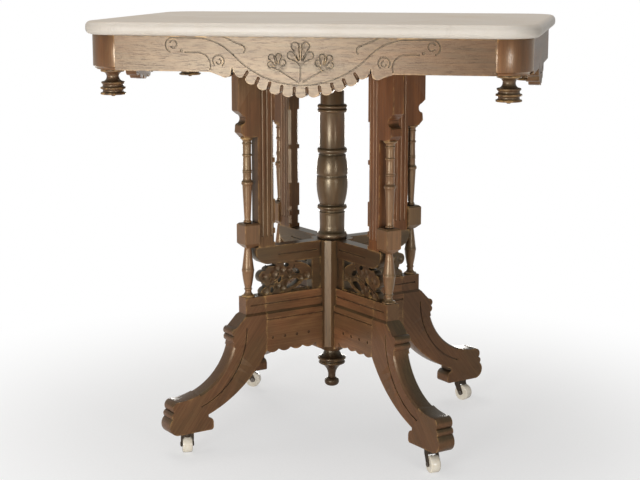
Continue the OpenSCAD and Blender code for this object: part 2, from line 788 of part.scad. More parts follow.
// The free edge of the leaves: lobes at a distance back from the reach and a height, with their radius
module leaf_outline() {
    height = upper_rail_bottom - lower_rail_top;
    inner = post_width / 2 + stile_width - 1;
    edge = leaf_reach - 23;
    lobes = [
        [25.5, 0.87, 5.5], [19.5, 0.77, 6.5], [11, 0.59, 11], [2.6, 0.6, 2.6],
        [18.5, 0.37, 6.5], [20, 0.22, 6.5], [15, 0.05, 11]
    ];
    difference() {
        union() {
            translate([inner, lower_rail_top]) square([edge - inner, height + 1]);
            intersection() {
                for (lobe = lobes)
                    translate([leaf_reach - lobe[0], lower_rail_top + lobe[1] * height]) circle(lobe[2]);
                translate([inner, lower_rail_top]) square([leaf_reach - inner + 5, height + 0.5]);
            }
        }
        translate([post_width / 2 + stile_width, lower_rail_top]) leaf_holes(height);
    }
}
// The piercings, measured from the stile's edge and up from the lower rail
module leaf_holes(height) {
    under = 1.2;
    stem = [70, 79];
    // Against the stile: one piercing under the upper rail, one over the lower rail
    difference() {
        translate([0.4, height - 16.5]) square([36.5, 16.5 - under]);
        translate([40.2, height - 62]) circle(60);
    }
    difference() {
        translate([0.4, under]) square([44, 16.5]);
        translate(stem) circle(81);
    }
    // A thin stem parts the lower piercing from the next one
    intersection() {
        translate(stem) circle(75);
        translate([37, 7.5]) circle(16);
    }
    leaf_shape(32.5, height - 19.5, 19, 9.5, 28);
    leaf_shape(54, height - 6.2, 13, 8, 8);
    leaf_shape(67, 25, 15, 6, 118);
    leaf_shape(84, 7.5, 12, 7.5, 100);
    leaf_shape(86, height - 2.5, 22, 6, 10);
}
// Hollows between the veins: place from the stile's edge, height and radius at the face
module leaf_hollows(height) {
    hollows = [
        [12, 25.5, 8], [24, 22, 6], [47, height - 16.5, 6.5], [62, height - 14, 6.5], [74, height - 10, 6],
        [52, 15, 7.5], [62, 8.5, 6], [72, 14.5, 6.5], [82, 22.5, 6], [80, 36.5, 7.5], [99, 33.5, 6], [98, 6, 7],
        [48, 28.5, 5]
    ];
    sink = 1.6;
    for (hollow = hollows) {
        ball = (hollow[2] * hollow[2] + sink * sink) / (2 * sink);
        translate([hollow[0], hollow[1], ball - sink]) sphere(ball);
    }
}
module leaf_veins(height) {
    line_arc(38, -70, 100, 46, 105);
    line_arc(70, height + 3, 35, 198, 262);
    line_arc(106, height - 2, 40, 205, 255);
    line_arc(44, -8, 40, 18, 74);
}
module fret_panel(k) {
    groove = upper_rail_bottom + upper_rail_height / 2;
    height = upper_rail_bottom - lower_rail_top;
    color(walnut_colour) at_wing(k) difference() {
        union() {
            wing_board(wing_thickness) upper_rail_outline();
            wing_board(stile_thickness) translate([post_width / 2, lower_rail_top])
                square([stile_width, height + 1]);
            wing_board(leaf_thickness) leaf_outline();
        }
        both_faces(wing_thickness) incised()
            line_straight(post_width / 2 + 8, groove, upright_inner - 6, groove);
        both_faces(leaf_thickness) translate([post_width / 2 + stile_width, lower_rail_top, 0]) {
            incised() leaf_veins(height);
            leaf_hollows(height);
        }
    }
}

// Lower rails: a board with a recessed upper band and scallops below
module lower_rail_outline() {
    inner = post_width / 2;
    pitch = (lower_rail_reach - inner - lobe_width) / rail_scallops;
    rho = bow(pitch, rail_scallop_depth);
    translate([inner, lower_rail_bottom]) square([lower_rail_reach - inner, lower_rail_height]);
    intersection() {
        for (i = [0 : rail_scallops - 1])
            translate([lower_rail_reach - (i + 0.5) * pitch, lower_rail_bottom - rail_scallop_depth + rho]) circle(rho);
        translate([inner, lower_rail_bottom - rail_scallop_depth])
            square([lower_rail_reach - inner, rail_scallop_depth + 1]);
    }
    // The deeper half lobe against the post
    intersection() {
        translate([inner, lower_rail_bottom]) circle(lobe_width - 4);
        translate([inner, lower_rail_bottom - lobe_width]) square([lobe_width, lobe_width + 1]);
    }
}
// Sets the band back on both sides of a rail or leg, with a bevel at its foot
module banded(reach) {
    half = leg_thickness / 2;
    slim = shoulder_thickness / 2;
    bevel = half - slim;
    intersection() {
        children();
        rotate([90, 0, 90]) linear_extrude(height = reach + 1) polygon([
            [-half, 0], [half, 0], [half, band_bottom - bevel], [slim, band_bottom],
            [slim, lower_rail_top], [-slim, lower_rail_top], [-slim, band_bottom], [-half, band_bottom - bevel]
        ]);
    }
}
module lower_rail(k) {
    line = band_bottom - 14;
    dots = lower_rail_bottom + 22;
    pitch = (lower_rail_reach - post_width / 2 - lobe_width) / rail_scallops;
    color(walnut_colour) at_wing(k) difference() {
        banded(lower_rail_reach) wing_board(leg_thickness + 2) lower_rail_outline();
        both_faces(shoulder_thickness) incised()
            line_straight(post_width / 2 - 1, band_line, lower_rail_reach + 1, band_line);
        both_faces(leg_thickness) incised() {
            line_straight(post_width / 2 - 1, line, lower_rail_reach + 1, line);
            for (i = [0 : rail_scallops - 1]) dot(lower_rail_reach - (i + 0.5) * pitch, dots, 2.6);
        }
    }
}

// Sabre legs: shoulder, three rolls, the sweep and a rolled toe
module leg_outline() {
    toe_x = toe_reach - toe_radius;
    roll_x = leg_top_centre - leg_top_radius;
    slope = roll_x - shoulder_reach;
    slope_bottom = band_bottom - slope;
    roll_r = [7.5, 7];
    roll_drop = [6, 18];
    toe_roll_r = [7, 11];
    toe_roll_drop = [24.5, 10.7];
    heel_rise = 13;
    heel_corner = 5;
    difference() {
        intersection() {
            translate([leg_back_centre, leg_back_level]) circle(leg_back_radius);
            translate([lower_rail_reach, sole_height]) square([toe_x - lower_rail_reach, lower_rail_top - sole_height]);
        }
        translate([leg_top_centre, leg_top_level]) circle(leg_top_radius);
        polygon([
            [shoulder_reach, lower_rail_top + 1], [shoulder_reach, band_bottom],
            [roll_x, slope_bottom], [toe_reach, slope_bottom], [toe_reach, lower_rail_top + 1]
        ]);
    }
    // The rolls at the shoulder
    for (i = [0, 1]) translate([roll_x, slope_bottom - roll_drop[i]]) circle(roll_r[i]);
    // The foot with its rolled toe and heel
    translate([heel_reach + heel_radius, sole_height]) square([toe_x - heel_reach - heel_radius, 2 * toe_radius]);
    translate([toe_x, sole_height + toe_radius]) circle(toe_radius);
    translate([toe_x + 6.5, toe_top - toe_roll_drop[0]]) circle(toe_roll_r[0]);
    translate([toe_x, toe_top - toe_roll_drop[1]]) circle(toe_roll_r[1]);
    translate([toe_x - 10, sole_height + toe_radius]) square([12, toe_height - toe_radius - 9]);
    translate([heel_reach, sole_height + heel_corner]) square([heel_radius + 1, heel_rise - heel_corner]);
    translate([heel_reach + heel_corner, sole_height]) square([heel_radius, heel_rise]);
    translate([heel_reach + heel_corner, sole_height + heel_corner]) circle(heel_corner);
    translate([heel_reach + heel_radius, sole_height + heel_rise]) circle(heel_radius);
}
// The chamfer between the rolls and the toe, cut from a face at height 0
module leg_edge_cut() {
    start = 196;
    end = 250;
    inner = leg_top_radius - 1;
    translate([leg_top_centre, leg_top_level, 0]) rotate(start) rotate_extrude(angle = end - start)
        polygon([[inner, -leg_chamfer - 1], [inner, 1], [inner + leg_chamfer + 2, 1]]);
}
module leg(k) {
    inset = 22;
    bore = socket_d + 2 * dowel_gap;
    color(walnut_colour) at_wing(k) difference() {
        banded(toe_reach) wing_board(leg_thickness + 2) leg_outline();
        both_faces(leg_thickness) {
            incised() line_arc(leg_top_centre, leg_top_level, leg_top_radius + inset, 180, 252);
            leg_edge_cut();
        }
        both_faces(shoulder_thickness) incised()
            line_straight(lower_rail_reach - 1, band_line, shoulder_reach - 9, band_line);
        translate([spindle_reach, 0, 0]) dowel_hole(lower_rail_top - dowel_length - 1, dowel_length + 2);
        translate([stem_reach, 0, sole_height - 1]) cylinder(d = bore, h = stem_length + 3);
    }
}

// Casters: socket in the leg, horn with its stem, axle and wheel
module at_caster(k) {
    at_wing(k) translate([stem_reach, 0, 0]) rotate([0, 0, caster_turn[k]]) children();
}
module caster_socket(k) {
    cap = 1.2;
    inside = stem_length - flange_thickness + side_gap;
    color(brass_colour) at_caster(k) difference() {
        union() {
            translate([0, 0, sole_height - flange_thickness]) cylinder(d = flange_d, h = flange_thickness);
            translate([0, 0, sole_height]) cylinder(d = socket_d, h = inside + cap);
        }
        translate([0, 0, sole_height - flange_thickness - 1])
            cylinder(d = stem_d + 2 * running_gap, h = inside + flange_thickness + 1);
    }
}
module horn_side() {
    eye = axle_d / 2 + 2.4;
    hull() {
        translate([trail, wheel_r]) circle(eye);
        translate([-bridge_back, bridge_bottom]) square([bridge_length, 0.6]);
    }
    translate([-bridge_back, bridge_bottom]) square([bridge_length, bridge_top - bridge_bottom]);
}
module caster_horn(k) {
    seat_d = 2 * stem_d;
    color(iron_colour) at_caster(k) difference() {
        union() {
            for (side = [-1, 1]) translate([0, side * (arm_inside + horn_thickness / 2), 0])
                wing_board(horn_thickness) horn_side();
            translate([-bridge_back, -arm_outside, bridge_bottom])
                cube([bridge_length, 2 * arm_outside, bridge_top - bridge_bottom]);
            translate([0, 0, bridge_bottom]) cylinder(d = seat_d, h = horn_top - bridge_bottom);
            translate([0, 0, horn_top - 1]) cylinder(d = stem_d, h = stem_length + 1);
        }
        translate([trail, 0, wheel_r]) rotate([90, 0, 0])
            cylinder(d = axle_d + 2 * running_gap, h = 4 * arm_outside, center = true);
    }
}
module caster_axle(k) {
    head = 1;
    color(iron_colour) at_caster(k) translate([trail, 0, wheel_r]) rotate([90, 0, 0]) union() {
        cylinder(d = axle_d, h = 2 * arm_outside + head, center = true);
        for (side = [0, 1]) mirror([0, 0, side]) translate([0, 0, arm_outside]) cylinder(d = axle_d + 3, h = head);
    }
}
module caster_wheel(k) {
    crown = 1.5;
    rim = 3;
    color(porcelain_colour) at_caster(k) translate([trail, 0, wheel_r]) rotate([90, 0, 0]) difference() {
        rotate_extrude() translate([0, -wheel_width / 2]) {
            bead(0, rim, wheel_r - crown - 1, wheel_r - 0.5);
            fillet(rim / 2, wheel_width - rim / 2, wheel_r);
            bead(wheel_width - rim, wheel_width, wheel_r - crown - 1, wheel_r - 0.5);
        }
        cylinder(d = axle_d + 2 * running_gap, h = 2 * wheel_width, center = true);
    }
}

marble_top();
apron_front();
apron_back();
apron_left();
apron_right();
corner_block(FL);  // corner_block_fl
corner_block(FR);  // corner_block_fr
corner_block(BL);  // corner_block_bl
corner_block(BR);  // corner_block_br
corner_drop(FL);  // corner_drop_fl
corner_drop(FR);  // corner_drop_fr
corner_drop(BL);  // corner_drop_bl
corner_drop(BR);  // corner_drop_br
bearer_across(-1);  // bearer_left
bearer_across(1);  // bearer_right
bearer_centre();
column();
centre_post();
finial();
upright(FL);  // upright_fl
upright(FR);  // upright_fr
upright(BL);  // upright_bl
upright(BR);  // upright_br
spindle(FL);  // spindle_fl
spindle(FR);  // spindle_fr
spindle(BL);  // spindle_bl
spindle(BR);  // spindle_br
fret_panel(FL);  // fret_panel_fl
fret_panel(FR);  // fret_panel_fr
fret_panel(BL);  // fret_panel_bl
fret_panel(BR);  // fret_panel_br
lower_rail(FL);  // lower_rail_fl
lower_rail(FR);  // lower_rail_fr
lower_rail(BL);  // lower_rail_bl
lower_rail(BR);  // lower_rail_br
leg(FL);  // leg_fl
leg(FR);  // leg_fr
leg(BL);  // leg_bl
leg(BR);  // leg_br
caster_socket(FL);  // caster_socket_fl
caster_socket(FR);  // caster_socket_fr
caster_socket(BL);  // caster_socket_bl
caster_socket(BR);  // caster_socket_br
caster_horn(FL);  // caster_horn_fl
caster_horn(FR);  // caster_horn_fr
caster_horn(BL);  // caster_horn_bl
caster_horn(BR);  // caster_horn_br
caster_axle(FL);  // caster_axle_fl
caster_axle(FR);  // caster_axle_fr
caster_axle(BL);  // caster_axle_bl
caster_axle(BR);  // caster_axle_br
caster_wheel(FL);  // caster_wheel_fl
caster_wheel(FR);  // caster_wheel_fr
caster_wheel(BL);  // caster_wheel_bl
caster_wheel(BR);  // caster_wheel_br
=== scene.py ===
import math

import bpy
from bpy.props import FloatProperty, FloatVectorProperty, PointerProperty
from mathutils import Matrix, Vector

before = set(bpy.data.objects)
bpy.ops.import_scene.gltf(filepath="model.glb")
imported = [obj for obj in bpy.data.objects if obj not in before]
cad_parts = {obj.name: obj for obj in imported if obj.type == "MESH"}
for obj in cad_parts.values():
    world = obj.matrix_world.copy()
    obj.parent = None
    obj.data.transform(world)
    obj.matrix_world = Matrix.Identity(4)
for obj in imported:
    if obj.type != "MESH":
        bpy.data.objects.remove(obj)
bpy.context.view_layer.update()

bl_info = {
    "name": "Parlor table finish",
    "version": (1, 0, 0),
    "blender": (4, 5, 0),
    "location": "View3D > Sidebar > Parlor table",
    "description": "Finishes, eased edges and stage of a marble-topped walnut parlor table",
    "category": "Object",
}

CORNERS = ("fl", "fr", "bl", "br")
# Direction of each wing and leg, seen from above, in degrees from +X
WING_TURN = {"fl": 225.0, "fr": 315.0, "bl": 135.0, "br": 45.0}
# Fall of the grain along the sabre legs, in degrees
LEG_FALL = 52.0
# Grain of upright pieces; the turned ones are cut a little off it
UPRIGHT = (0, 0, 1)
TURNED = (0, 0.01, 1)
# Carved flowers of the front board: distance from its middle, height and radius, in metres
FLOWERS = ((0.0385, 0.6885, 0.021), (0.0, 0.702, 0.026))

# Stretch of the walnut's noises along and across the grain
RING_STRETCH = (0.9, 7.0, 7.0)
FIBRE_STRETCH = (9.0, 420.0, 420.0)
STREAK_STRETCH = (1.6, 46.0, 46.0)
PATCH_STRETCH = (4.0, 14.0, 14.0)
CAST_STRETCH = (5.0, 12.0, 12.0)
PORE_STRETCH = (55.0, 1500.0, 1500.0)
# Shift of the grain from one piece's seed to the next, in metres
SEED_SHIFT = (0.37, 0.11, 0.23)
# How fast the growth rings follow one another over their noise
RING_RATE = 62.0
# Share of each noise in the walnut's tone, and the tone without them
RING_SHARE = 0.05
STREAK_SHARE = 0.15
FIBRE_SHARE = 0.24
PATCH_SHARE = 0.26
PLAIN_TONE = 0.25
# What full figure takes off the tone, so that its rings and streaks don't lighten the wood
FIGURE_TONE = 0.1
# Tones of the dark, middle and light wood
TONE_STOPS = (0.3, 0.5, 0.72)
# How much rougher the streaks and the grime make the shellac
STREAK_DULLING = 0.12
GRIME_DULLING = 0.2
# Reach in metres of the hollows and joints that gather wax and also hold painted shade, of the
# sheltered places painted darker as shade, and of the worn rims that also hold a painted highlight
HOLLOW_REACH = 0.012
JOINT_REACH = 0.007
PAINTED_SHADE_REACH = 0.06
WOOD_RIM = 0.006
METAL_RIM = 0.002
OCCLUSION_SAMPLES = 6
# Depth of the bump in the wood's shellac, the metal's skin, and the stone's and glaze's surface
SHELLAC_DEPTH = 0.00035
SKIN_DEPTH = 0.0003
POLISH_DEPTH = 0.0002
# Refraction of old shellac and of polished marble
POLISH_IOR = 1.4

# Rust and tarnish of the casters' metals
BRASS_TARNISH_RGB = (70, 58, 40)
IRON_RUST_RGB = (74, 52, 38)
STEEL_RGB = (96, 90, 84)
STEEL_RUST_RGB = (78, 60, 46)

# Points nearer than this are welded before the edges are eased, in metres
WELD_DISTANCE = 0.00001
# Edges sharper than this are eased, in degrees
SHARP_ANGLE = 38

# Each panel lamp: its place, width and height, in metres
LAMPS = {
    "window": ((-0.72, -2.7, 0.40), 0.8, 0.62),
    "side": ((2.0, -2.2, 0.42), 0.5, 0.6),
    "back": ((-0.6, 2.8, 0.19), 2.0, 0.28),
    "top": ((-0.3, 0.2, 2.9), 2.4, 2.4),
}
LAMP_AIM = (0, 0, 0.42)
# Width of the camera's sensor, in millimetres, and its nearest and farthest sight, in metres
SENSOR_WIDTH = 36.0
SIGHT = (0.05, 60.0)
# Half the floor's side, and where it fades to white, in metres from its middle
FLOOR_HALF = 12.0
FLOOR_FADE = (0.4, 1.05)
# Share of plain white in the floor under the table
FLOOR_WHITE = 0.55
# Share of the white background that reflections show
GLOSSY_WHITE = 0.35
WHITE = (1, 1, 1)


def linear(red, green, blue):
    """Turns a colour given in screen values from 0 to 255 into a linear one."""
    return tuple(
        (c / 255 / 12.92) if c / 255 <= 0.04045 else ((c / 255 + 0.055) / 1.055) ** 2.4
        for c in (red, green, blue)
    )


def nodes_of(*names):
    """The frame's nodes with these names; a name that ends in _ stands for its four corners."""
    found = []
    for name in names:
        full = [name + corner for corner in CORNERS] if name.endswith("_") else [name]
        found += [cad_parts[n] for n in full]
    return found


def outward(corner, fall=0.0):
    """Direction of a corner's wing away from the post, falling by an angle in degrees."""
    turn = math.radians(WING_TURN[corner])
    fall = math.radians(fall)
    return (math.cos(turn) * math.cos(fall), math.sin(turn) * math.cos(fall), -math.sin(fall))


def add_object(name, data):
    """Adds an object to the scene."""
    made = bpy.data.objects.new(name, data)
    bpy.context.scene.collection.objects.link(made)
    return made


# Shader maths

class Wire:
    """A socket of a material's nodes. Arithmetic on it adds Math nodes."""

    def __init__(self, paint, socket):
        self.paint = paint
        self.socket = socket

    def math(self, operation, first, second=0.0):
        return self.paint.node("ShaderNodeMath", {"operation": operation}, {0: first, 1: second})

    def __add__(self, other):
        return self.math("ADD", self, other)

    def __radd__(self, other):
        return self.math("ADD", other, self)

    def __sub__(self, other):
        return self.math("SUBTRACT", self, other)

    def __rsub__(self, other):
        return self.math("SUBTRACT", other, self)

    def __mul__(self, other):
        return self.math("MULTIPLY", self, other)

    def __rmul__(self, other):
        return self.math("MULTIPLY", other, self)

    def __pow__(self, other):
        return self.math("POWER", self, other)

    def __rpow__(self, other):
        return self.math("POWER", other, self)

    def sine(self):
        return self.math("SINE", self)

    def size(self):
        return self.math("ABSOLUTE", self)

    def smooth(self, low, high):
        """0 below low, 1 above high, with a soft step between them."""
        return self.paint.node(
            "ShaderNodeMapRange",
            {"interpolation_type": "SMOOTHSTEP"},
            {"Value": self, "From Min": low, "From Max": high},
        )


class Paint:
    """A material or a world and the means to add nodes to it."""

    def __init__(self, name, world=False):
        self.material = (bpy.data.worlds if world else bpy.data.materials).new(name)
        self.material.use_nodes = True
        self.tree = self.material.node_tree
        self.tree.nodes.clear()

    def node(self, kind, settings=None, sockets=None, out=0):
        """Adds a node: its settings first, then the values or links of its sockets."""
        made = self.tree.nodes.new(kind)
        for key, value in (settings or {}).items():
            if key == "stops":
                ramp = made.color_ramp
                while len(ramp.elements) < len(value):
                    ramp.elements.new(1.0)
                for element, (at, colour) in zip(ramp.elements, value):
                    element.position = at
                    element.color = (*colour, 1.0)
            else:
                setattr(made, key, value)
        for key, value in (sockets or {}).items():
            socket = made.inputs[key]
            if isinstance(value, Wire):
                self.tree.links.new(value.socket, socket)
            elif socket.type == "RGBA" and len(value) == 3:
                socket.default_value = (*value, 1.0)
            else:
                socket.default_value = value
        return Wire(self, made.outputs[out]) if made.outputs else None

    def place(self, turn=None, shift=(0, 0, 0)):
        """Object coordinates in metres, turned by a rotation and shifted."""
        spot = self.node("ShaderNodeTexCoord", out="Object")
        angles = turn.to_euler() if turn is not None else (0, 0, 0)
        return self.node("ShaderNodeMapping", None,
                         {"Vector": spot, "Rotation": angles, "Location": shift})

    def part(self, vector, axis):
        """One part of a vector: X, Y or Z."""
        return self.node("ShaderNodeSeparateXYZ", None, {0: vector}, out=axis)

    def stretch(self, vector, factors):
        """A vector with each part multiplied by its own factor."""
        return self.node("ShaderNodeVectorMath", {"operation": "MULTIPLY"}, {0: vector, 1: factors})

    def noise(self, vector, scale=1.0, detail=3.0, roughness=0.5, distortion=0.0):
        """A noise from 0 to 1, around 0.5."""
        return self.node("ShaderNodeTexNoise", None, {
            "Vector": vector, "Scale": scale, "Detail": detail,
            "Roughness": roughness, "Distortion": distortion,
        })

    def ramp(self, factor, stops):
        """A colour for each value, from stops of a position and a colour."""
        return self.node("ShaderNodeValToRGB", {"stops": stops}, {"Fac": factor})

    def blend(self, factor, first, second, mode="MIX"):
        """The first colour at 0 and the second, or the two multiplied, at 1."""
        return self.node(
            "ShaderNodeMix",
            {"data_type": "RGBA", "blend_type": mode, "clamp_factor": True},
            {0: factor, 6: first, 7: second}, out=2,
        )

    def recess(self, distance, own=True):
        """Near 1 on open faces and lower in hollows, its own ones or also those between nodes."""
        return self.node("ShaderNodeAmbientOcclusion",
                         {"samples": OCCLUSION_SAMPLES, "only_local": own},
                         {"Distance": distance}, out="AO")

    def edge(self, distance):
        """Near 1 inside a node and lower along its outer edges."""
        return self.node("ShaderNodeAmbientOcclusion",
                         {"samples": OCCLUSION_SAMPLES, "only_local": True, "inside": True},
                         {"Distance": distance}, out="AO")

    def distance(self, side, height):
        """Distance in the XZ plane from the nearer of the two points to the left and right."""
        spot = self.node("ShaderNodeTexCoord", out="Object")
        across = self.part(spot, "X").size() - side
        up = self.part(spot, "Z") - height
        return (across * across + up * up) ** 0.5

    def upward(self):
        """The upward part of a face's direction: 1 on a level top, 0 on an upright face."""
        return self.part(self.node("ShaderNodeNewGeometry", out="Normal"), "Z")

    def background_mask(self):
        """1 for camera rays and rays through glass, and less for reflections."""
        path = "ShaderNodeLightPath"
        return (self.node(path, out="Is Camera Ray") + self.node(path, out="Is Transmission Ray")
                + self.node(path, out="Is Glossy Ray") * GLOSSY_WHITE)

    def bump(self, height, strength, depth):
        """A face direction that follows a height."""
        return self.node("ShaderNodeBump", None,
                         {"Height": height, "Strength": strength, "Distance": depth})

    def surface(self, **sockets):
        """The Principled shader with these sockets, as the material's surface."""
        named = {key.replace("_", " "): value for key, value in sockets.items()}
        shader = self.node("ShaderNodeBsdfPrincipled", None, named)
        self.node("ShaderNodeOutputMaterial", None, {"Surface": shader})
        return self.material


def dress(objects, material):
    """Puts a material in every slot of the objects."""
    for o in objects:
        if not o.data.materials:
            o.data.materials.append(material)
        for index in range(len(o.data.materials)):
            o.data.materials[index] = material


# Finishes

def flower_wax(paint, grain):
    """Old wax among the petals of the carved flowers, and none elsewhere."""
    hatch = paint.noise(grain, 320.0, detail=4.0, roughness=0.7).smooth(0.38, 0.6)
    wax = 0.0
    for side, height, radius in FLOWERS:
        near = 1.0 - paint.distance(side, height).smooth(radius * 0.5, radius)
        wax = wax + near * hatch * 0.5
    return wax


def walnut(name, along, seed, shade=1.0, pale=0.0, green=1.0, coat=0.15, sheen=0.5, mirror=0.3,
           figure=1.0, flowers=False):
    """Old walnut under shellac, its grain running along a direction.

    A lower shade is darker, pale is the share of faded wood and green the share of olive cast.
    The coat, sheen and mirror are the weight, strength and roughness of the shellac's gloss.
    The figure is the strength of rings and streaks, and flowers have wax among their petals.
    """
    paint = Paint(name)
    settings = look()
    turn = Vector(along).normalized().rotation_difference(Vector((1, 0, 0)))
    grain = paint.place(turn, tuple(seed * shift for shift in SEED_SHIFT))

    contour = paint.noise(paint.stretch(grain, RING_STRETCH), 1.6,
                          detail=2.0, roughness=0.45, distortion=0.3)
    rings = (contour * RING_RATE).sine() * 0.5 + 0.5
    fibre = paint.noise(paint.stretch(grain, FIBRE_STRETCH), roughness=0.6)
    streak = paint.noise(paint.stretch(grain, STREAK_STRETCH), roughness=0.55)
    patch = paint.noise(paint.stretch(grain, PATCH_STRETCH), detail=4.0, roughness=0.6)
    cast = paint.noise(paint.stretch(grain, CAST_STRETCH), roughness=0.55)
    pore = paint.noise(paint.stretch(grain, PORE_STRETCH), detail=1.0).smooth(0.60, 0.72)

    tone = (rings * (RING_SHARE * figure) + streak * (STREAK_SHARE * figure)
            + fibre * FIBRE_SHARE + patch * PATCH_SHARE)
    tone = tone + (PLAIN_TONE - FIGURE_TONE * figure)
    colours = (settings.walnut_dark, settings.walnut_middle, settings.walnut_light)
    wood = paint.ramp(tone, [(at, Vector(c) * shade) for at, c in zip(TONE_STOPS, colours)])

    olive = cast.smooth(0.42, 0.6) * (settings.olive * green)
    wood = paint.blend(olive, wood, settings.walnut_olive, "MULTIPLY")
    russet = Vector(settings.walnut_russet).lerp(Vector(WHITE), green)
    wood = paint.blend(1.0 - olive, wood, russet, "MULTIPLY")
    # Upward faces are multiplied by a darker, olive tint, more strongly where the cast noise is
    # high
    dusty = paint.upward().smooth(0.05, 0.5) * (cast.smooth(0.35, 0.55) * 0.4 + 0.6)
    wood = paint.blend(dusty * settings.dust, wood, settings.upward_tint, "MULTIPLY")
    if pale:
        wood = paint.blend(pale, wood, settings.walnut_pale)
    wood = paint.blend(pore * 0.45, wood, Vector(settings.walnut_dark) * 0.5)

    # Old wax and dust in the hollows and in the joints between parts, and with them painted shade:
    # these places are painted darker
    open_hollow = paint.recess(HOLLOW_REACH).smooth(0.3, 0.85)
    open_joint = paint.recess(JOINT_REACH, own=False).smooth(0.25, 0.7)
    grime_and_shade = 1.0 - open_hollow * open_joint
    if flowers:
        grime_and_shade = grime_and_shade + flower_wax(paint, grain)
    # Painted shade: wood that other parts shelter within a few centimetres, behind the spindles,
    # under the brackets and in the frets, is painted darker
    painted_shade = 1.0 - paint.recess(PAINTED_SHADE_REACH, own=False).smooth(0.15, 0.85)
    wood = paint.blend(painted_shade * settings.depth, wood, settings.grime_and_shade_colour)
    wood = paint.blend(grime_and_shade * settings.grime_and_shade, wood, settings.grime_and_shade_colour)
    # Rims rubbed lighter, which also serves as a painted highlight along the edges
    rim = 1.0 - paint.edge(WOOD_RIM).smooth(0.25, 0.75)
    rubbed_and_highlit = rim * paint.noise(grain, 70.0, roughness=0.6).smooth(0.42, 0.62)
    wood = paint.blend(rubbed_and_highlit * settings.edge_wear_and_highlight, wood, settings.walnut_rubbed_highlight)

    return paint.surface(
        Base_Color=wood,
        Roughness=(settings.walnut_roughness + (streak - 0.5) * STREAK_DULLING
                   + grime_and_shade * GRIME_DULLING),
        IOR=POLISH_IOR,
        Specular_IOR_Level=sheen,
        Specular_Tint=settings.shellac_tint,
        Coat_Weight=(1.0 - grime_and_shade) * coat,
        Coat_Roughness=mirror,
        Coat_Tint=settings.shellac_tint,
        Normal=paint.bump(fibre * 0.35 + streak * 0.3 - pore * 0.8, 0.35, SHELLAC_DEPTH),
    )


def walnut_corners(name, finish_name, along, seed, **finish):
    """Gives a piece's four nodes walnut of their own; along may be a function of the corner."""
    for index, corner in enumerate(CORNERS):
        grain = along(corner) if callable(along) else along
        material = walnut(finish_name + "_" + corner, grain, seed + index, **finish)
        dress([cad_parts[name + "_" + corner]], material)


def marble(name):
    """White marble gone cream, with faint grey clouds, a few fine veins and old stains."""
    paint = Paint(name)
    settings = look()
    spot = paint.place()
    cloud = paint.noise(spot, 4.0, detail=5.0, roughness=0.6, distortion=0.8)
    warp = paint.noise(spot, 2.2, detail=4.0, roughness=0.6, distortion=0.4)
    seam = paint.noise(paint.stretch(spot, (1.0, 2.2, 1.0)), 2.6,
                       detail=6.0, roughness=0.62, distortion=1.6)
    vein = 1.0 - (seam - 0.5).size().smooth(0.0, 0.02)
    fine = paint.noise(spot, 900.0, detail=2.0)
    stain = paint.noise(spot, 11.0, detail=4.0, roughness=0.65).smooth(0.5, 0.8)
    layers = (
        (cloud.smooth(0.35, 0.7) * 0.55, settings.marble_cloud),
        (vein * warp.smooth(0.45, 0.65) * 0.5, settings.marble_vein),
        (fine.smooth(0.45, 0.75) * 0.12, settings.marble_vein),
        (stain * 0.25, settings.marble_stain),
        (paint.upward().smooth(0.5, 1.0) * 0.28, settings.marble_stain),
    )
    stone = settings.marble_colour
    for share, colour in layers:
        stone = paint.blend(share, stone, colour)
    return paint.surface(
        Base_Color=stone,
        Roughness=0.36 + cloud * 0.12 + stain * 0.08,
        IOR=POLISH_IOR,
        Subsurface_Weight=0.08,
        Subsurface_Radius=(0.006, 0.005, 0.004),
        Subsurface_Scale=0.5,
        Normal=paint.bump(fine + stain * 0.5, 0.08, POLISH_DEPTH),
    )


def metal(name, colour, rust, roughness, seed):
    """Old dark metal, with a dull skin that is worn bright along its edges."""
    paint = Paint(name)
    spot = paint.place(shift=(seed, seed * 0.3, 0))
    mottle = paint.noise(spot, 180.0, detail=4.0, roughness=0.65)
    spots = paint.noise(spot, 520.0, roughness=0.6).smooth(0.52, 0.7)
    skin = paint.blend(spots * 0.6, colour, rust)
    rim = 1.0 - paint.edge(METAL_RIM).smooth(0.3, 0.8)
    skin = paint.blend(rim * 0.4, skin, Vector(colour) * 2.2)
    return paint.surface(
        Base_Color=skin,
        Metallic=0.9 - spots * 0.5,
        Roughness=roughness + mottle * 0.2,
        Normal=paint.bump(mottle, 0.3, SKIN_DEPTH),
    )


def porcelain(name):
    """White glazed porcelain, yellowed, with a worn and dusty tread."""
    paint = Paint(name)
    settings = look()
    spot = paint.place()
    craze = paint.noise(spot, 260.0, detail=4.0, roughness=0.6)
    dirt = paint.noise(spot, 90.0, detail=4.0, roughness=0.65).smooth(0.5, 0.75)
    glaze = paint.blend(craze.smooth(0.4, 0.7) * 0.35,
                        settings.porcelain_colour, settings.porcelain_shade)
    glaze = paint.blend(dirt * 0.3, glaze, settings.marble_stain)
    return paint.surface(
        Base_Color=glaze,
        Roughness=0.22 + dirt * 0.3,
        Coat_Weight=0.4,
        Coat_Roughness=0.08,
        Normal=paint.bump(craze, 0.06, POLISH_DEPTH),
    )


# Settings

def colour_setting(name, words, default):
    return FloatVectorProperty(name=name, description=words, subtype="COLOR", size=3,
                               min=0, max=1, default=default)


def amount_setting(name, words, default):
    return FloatProperty(name=name, description=words, subtype="FACTOR",
                         min=0, max=1, default=default)


def power_setting(name, words, default):
    return FloatProperty(name=name, description=words, unit="POWER", default=default)


